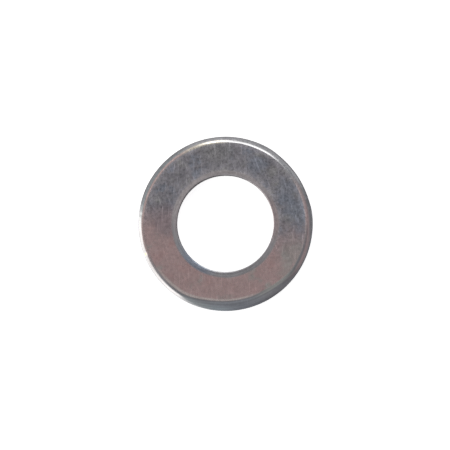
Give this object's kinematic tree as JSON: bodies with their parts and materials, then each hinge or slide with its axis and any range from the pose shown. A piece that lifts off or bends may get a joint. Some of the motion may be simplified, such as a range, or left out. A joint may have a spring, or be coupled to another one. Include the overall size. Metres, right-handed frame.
{
  "type": "flat washer",
  "caption": "Round flat ring with a plain central bolt hole, a flat bearing face on each side and softly rounded upper edges.",
  "frame": {"origin": "centre of the lower face, on the bore's axis", "axes": "+Z along the bore's axis, from the lower face with the tumbled burr edges to the upper face with the rounded die rolls"},
  "size_m": [0.0238, 0.0238, 0.0025],
  "materials": {
    "zinc_plated_steel": "zinc electroplate with a clear chromate passivate, dulled and finely scratched by barrel tumbling"
  },
  "bodies": {
    "root": {"flat_washer": "zinc_plated_steel"}
  },
  "joints": []
}
